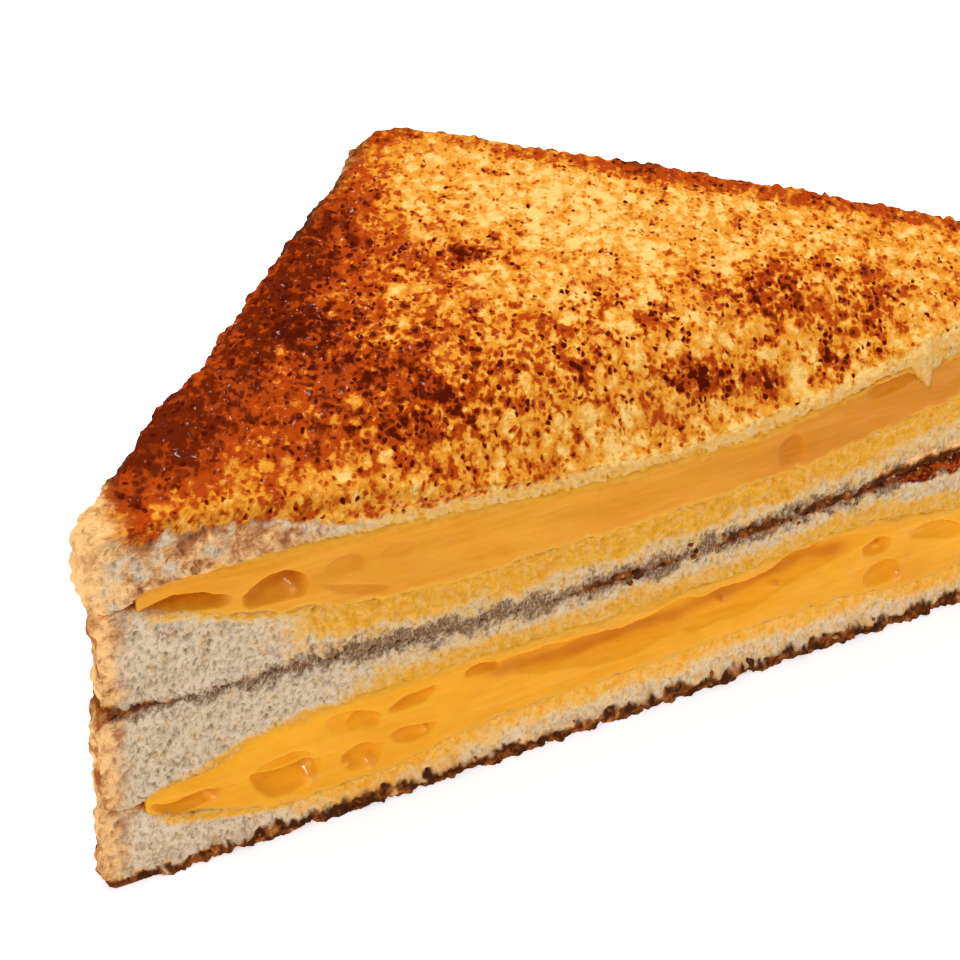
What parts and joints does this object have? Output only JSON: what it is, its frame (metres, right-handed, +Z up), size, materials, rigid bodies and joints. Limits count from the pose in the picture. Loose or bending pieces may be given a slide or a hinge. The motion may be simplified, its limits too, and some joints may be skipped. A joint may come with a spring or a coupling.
{
  "type": "grilled cheese sandwich",
  "caption": "Grilled cheese sandwich cut corner to corner, its triangular halves stacked with the cut faces in line to show toasted bread and thick melted cheese.",
  "frame": {"origin": "centre of the sandwich's footprint, on the surface it rests on", "axes": "+X along the cut face, its longest side; +Y from the cut face to the right-angled corner; +Z up through the layers"},
  "size_m": [0.1446, 0.0728, 0.0486],
  "materials": {
    "bread": "toasted crumb, rough and porous",
    "cheese": "melted, smooth and glossy"
  },
  "bodies": {
    "root": {"lower_bottom_slice": "bread", "lower_cheese": "cheese", "lower_top_slice": "bread", "upper_bottom_slice": "bread", "upper_cheese": "cheese", "upper_top_slice": "bread"}
  },
  "joints": []
}
